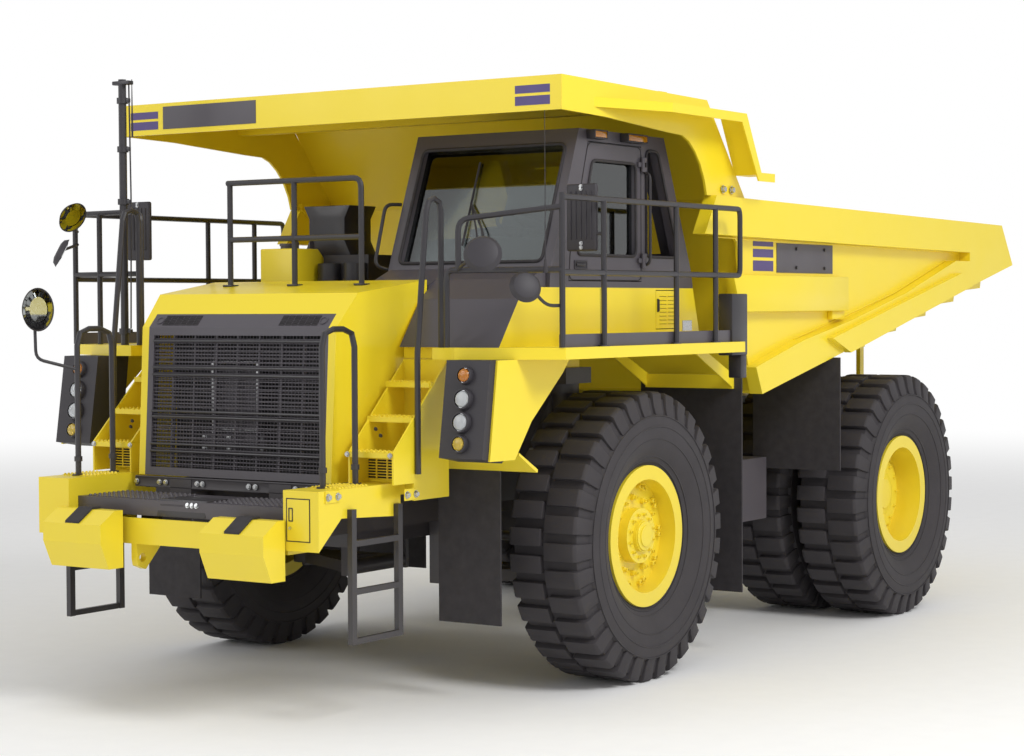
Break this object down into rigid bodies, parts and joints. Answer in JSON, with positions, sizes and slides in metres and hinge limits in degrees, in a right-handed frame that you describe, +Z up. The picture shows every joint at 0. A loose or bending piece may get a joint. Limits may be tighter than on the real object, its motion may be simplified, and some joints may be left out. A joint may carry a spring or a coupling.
{
  "type": "mining dump truck",
  "caption": "Rigid-frame mining dump truck with a tipping body over the cab, steered front wheels, twin rear wheels and telescopic hoist cylinders.",
  "frame": {"origin": "middle of the truck's outline on the ground", "axes": "+Z up, the truck faces -Y, +X to the truck's own left (the cab side)"},
  "size_m": [4.6, 10.324, 4.542],
  "materials": {
    "yellow_paint": "satin enamel",
    "chassis_paint": "satin dark grey enamel",
    "grey_paint": "satin dark grey enamel",
    "black_paint": "powder coat",
    "cab_paint": "satin dark grey enamel",
    "engine_block": "painted casting",
    "radiator_core": "black finned core",
    "chock_plastic": "moulded",
    "dark_plastic": "moulded grain",
    "black_rubber": "matte",
    "tyre_rubber": "matte",
    "lamp_lens": "clear lens",
    "window_glass": "tinted",
    "seat_cloth": "woven",
    "polished_rod": "hard chrome"
  },
  "bodies": {
    "root": {"frame": "chassis_paint", "engine": "engine_block", "driveline": "chassis_paint", "radiator": "radiator_core", "front_bumper": "yellow_paint", "walkway": "grey_paint", "wheel_chocks": "chock_plastic", "chock_straps": "black_rubber", "grille": "grey_paint", "hood": "yellow_paint", "stairs": "yellow_paint", "ladders": "black_paint", "deck": "yellow_paint", "toe_boards": "grey_paint", "handrails": "black_paint", "lamp_pods": "dark_plastic", "lamps": "lamp_lens", "fenders": "yellow_paint", "mud_flaps": "black_rubber", "cab_shell": "cab_paint", "cab_glass": "window_glass", "cab_base": "yellow_paint", "cab_cowl": "cab_paint", "operator_seats": "seat_cloth", "control_console": "dark_plastic", "air_cleaner": "dark_plastic", "oil_tank": "yellow_paint", "mirrors": "dark_plastic", "camera_mast": "black_paint", "fuel_tank": "grey_paint", "front_suspension": "chassis_paint", "rear_axle": "chassis_paint", "rear_suspension": "chassis_paint"},
    "knuckle_left": {"knuckle_left": "chassis_paint"},
    "knuckle_right": {"knuckle_right": "chassis_paint"},
    "tie_rod": {"tie_rod": "chassis_paint"},
    "front_wheel_left": {"front_rim_left": "yellow_paint", "front_tyre_left": "tyre_rubber"},
    "front_wheel_right": {"front_rim_right": "yellow_paint", "front_tyre_right": "tyre_rubber"},
    "rear_wheels_left": {"rear_rims_left": "yellow_paint", "rear_tyres_left": "tyre_rubber"},
    "rear_wheels_right": {"rear_rims_right": "yellow_paint", "rear_tyres_right": "tyre_rubber"},
    "dump_body": {"dump_body": "yellow_paint", "canopy": "yellow_paint", "rock_ejectors": "yellow_paint", "body_guards": "black_rubber"},
    "hoist_barrel_left": {"hoist_barrel_left": "chassis_paint"},
    "hoist_barrel_right": {"hoist_barrel_right": "chassis_paint"},
    "hoist_sleeve_left": {"hoist_sleeve_left": "polished_rod"},
    "hoist_sleeve_right": {"hoist_sleeve_right": "polished_rod"},
    "hoist_rod_left": {"hoist_rod_left": "polished_rod"},
    "hoist_rod_right": {"hoist_rod_right": "polished_rod"},
    "cab_door": {"cab_door": "cab_paint", "door_glass": "window_glass"},
    "access_door": {"access_door": "yellow_paint"}
  },
  "joints": [
    {"name": "steer_left", "type": "hinge", "parent": "root", "child": "knuckle_left", "pos_m": [1.25, -1.942, 1.08], "axis": [0, 0, 1], "range_deg": [-39, 39]},
    {"name": "steer_right", "type": "hinge", "parent": "root", "child": "knuckle_right", "pos_m": [-1.25, -1.942, 1.08], "axis": [0, 0, 1], "range_deg": [-39, 39]},
    {"name": "tie_rod_swing", "type": "hinge", "parent": "knuckle_left", "child": "tie_rod", "pos_m": [1.25, -1.492, 0.96], "axis": [0, 0, 1], "range_deg": [-39, 39]},
    {"name": "front_spin_left", "type": "hinge", "parent": "knuckle_left", "child": "front_wheel_left", "pos_m": [1.7575, -1.942, 1.08], "axis": [1, 0, 0], "continuous": true},
    {"name": "front_spin_right", "type": "hinge", "parent": "knuckle_right", "child": "front_wheel_right", "pos_m": [-1.7575, -1.942, 1.08], "axis": [1, 0, 0], "continuous": true},
    {"name": "rear_spin_left", "type": "hinge", "parent": "root", "child": "rear_wheels_left", "pos_m": [1.54, 2.358, 1.08], "axis": [1, 0, 0], "continuous": true},
    {"name": "rear_spin_right", "type": "hinge", "parent": "root", "child": "rear_wheels_right", "pos_m": [-1.54, 2.358, 1.08], "axis": [1, 0, 0], "continuous": true},
    {"name": "body_tip", "type": "hinge", "parent": "root", "child": "dump_body", "pos_m": [0, 3.358, 1.78], "axis": [-1, 0, 0], "range_deg": [0, 48]},
    {"name": "hoist_lean_left", "type": "hinge", "parent": "root", "child": "hoist_barrel_left", "pos_m": [0.7, 0.678, 0.76], "axis": [-1, 0, 0], "range_deg": [0, 15.63]},
    {"name": "hoist_first_left", "type": "slide", "parent": "hoist_barrel_left", "child": "hoist_sleeve_left", "axis": [0, 0.1144, 0.9934], "range_m": [0, 0.9959]},
    {"name": "hoist_second_left", "type": "slide", "parent": "hoist_sleeve_left", "child": "hoist_rod_left", "axis": [0, 0.1144, 0.9934], "range_m": [0, 0.9959]},
    {"name": "hoist_lean_right", "type": "hinge", "parent": "root", "child": "hoist_barrel_right", "pos_m": [-0.7, 0.678, 0.76], "axis": [-1, 0, 0], "range_deg": [0, 15.63]},
    {"name": "hoist_first_right", "type": "slide", "parent": "hoist_barrel_right", "child": "hoist_sleeve_right", "axis": [0, 0.1144, 0.9934], "range_m": [0, 0.9959]},
    {"name": "hoist_second_right", "type": "slide", "parent": "hoist_sleeve_right", "child": "hoist_rod_right", "axis": [0, 0.1144, 0.9934], "range_m": [0, 0.9959]},
    {"name": "cab_door_hinge", "type": "hinge", "parent": "root", "child": "cab_door", "pos_m": [1.867, -1.769, 3.4], "axis": [0, 0, 1], "range_deg": [0, 23]},
    {"name": "access_door_hinge", "type": "hinge", "parent": "root", "child": "access_door", "pos_m": [1.86, -1.225, 2.78], "axis": [0, 0, 1], "range_deg": [0, 100]}
  ],
  "couplings": [
    {"joint": "steer_right", "follows": "steer_left", "ratio": 1},
    {"joint": "tie_rod_swing", "follows": "steer_left", "ratio": -1},
    {"joint": "hoist_lean_left", "follows": "body_tip", "ratio": 0.32153},
    {"joint": "hoist_first_left", "follows": "body_tip", "m_per_rad": 1.1864},
    {"joint": "hoist_second_left", "follows": "body_tip", "m_per_rad": 1.1864},
    {"joint": "hoist_lean_right", "follows": "body_tip", "ratio": 0.32153},
    {"joint": "hoist_first_right", "follows": "body_tip", "m_per_rad": 1.1864},
    {"joint": "hoist_second_right", "follows": "body_tip", "m_per_rad": 1.1864}
  ]
}
